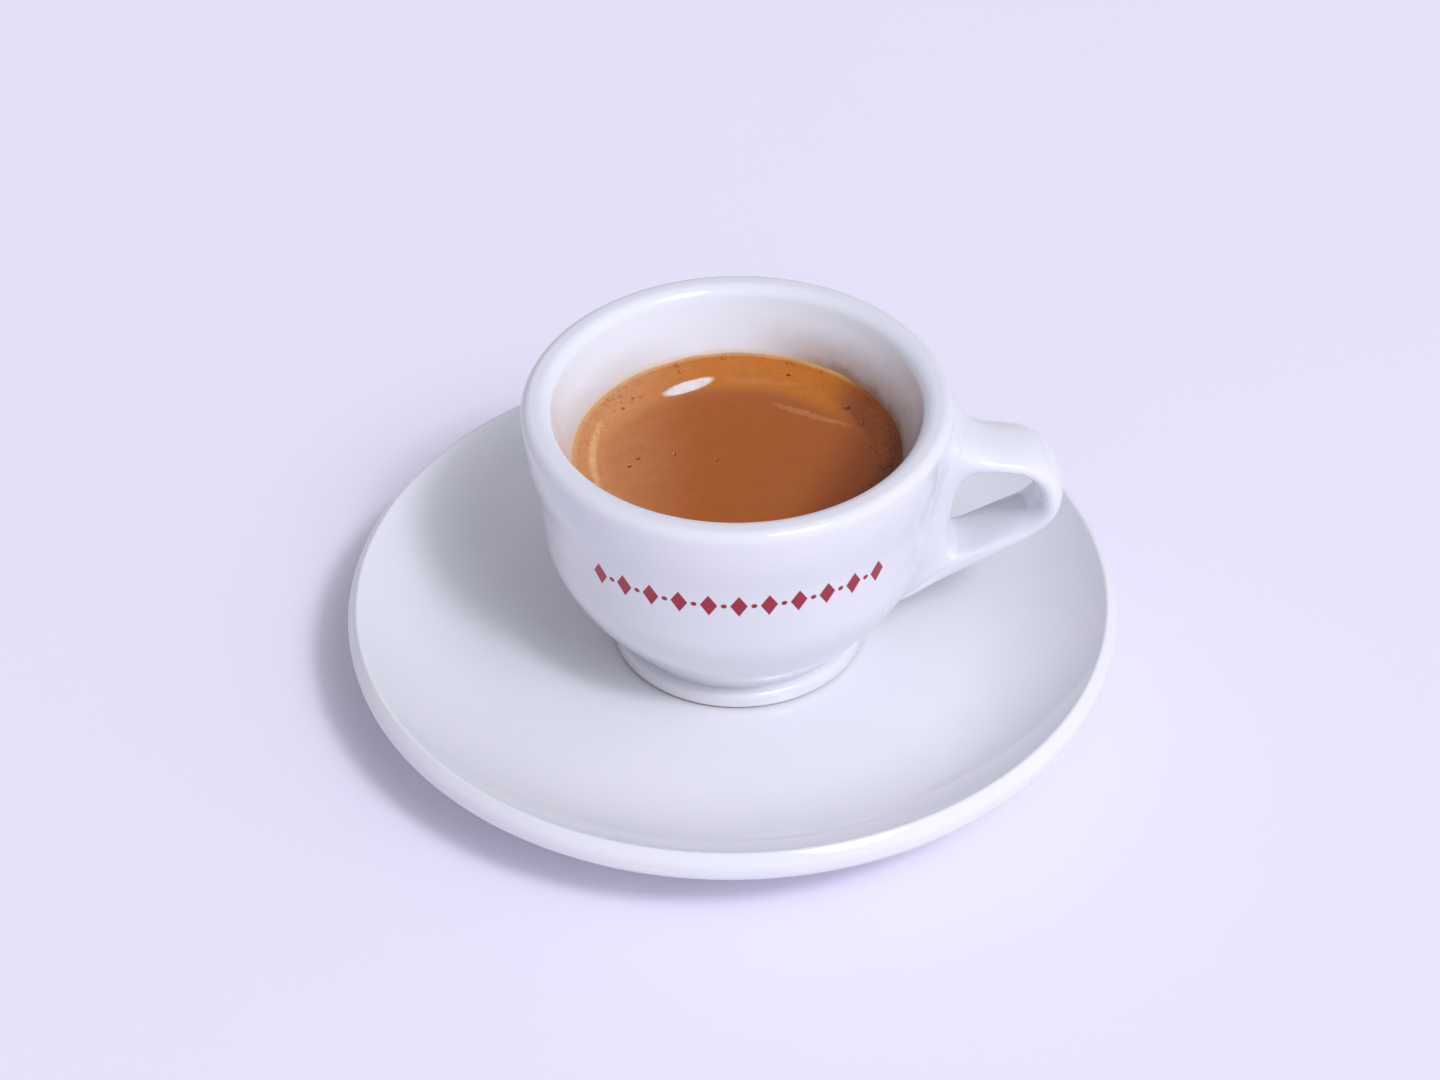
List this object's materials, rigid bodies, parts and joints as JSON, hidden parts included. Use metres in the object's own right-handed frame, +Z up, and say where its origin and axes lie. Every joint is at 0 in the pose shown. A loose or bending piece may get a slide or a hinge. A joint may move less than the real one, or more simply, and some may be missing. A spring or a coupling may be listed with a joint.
{
  "type": "espresso in a cup on a saucer",
  "caption": "Espresso with a golden foam in a thick-walled white porcelain cup with an ear-shaped handle, standing on its round saucer.",
  "frame": {"origin": "centre of the saucer's foot, on the surface it stands on", "axes": "+Z up along the saucer's axis, +X from that axis through the cup's handle"},
  "size_m": [0.122, 0.122, 0.0545],
  "materials": {
    "saucer": "glossy white glaze",
    "cup": "glossy white glaze",
    "espresso": "brown coffee foam, moist"
  },
  "bodies": {
    "root": {"saucer": "saucer", "cup": "cup", "espresso": "espresso"}
  },
  "joints": []
}
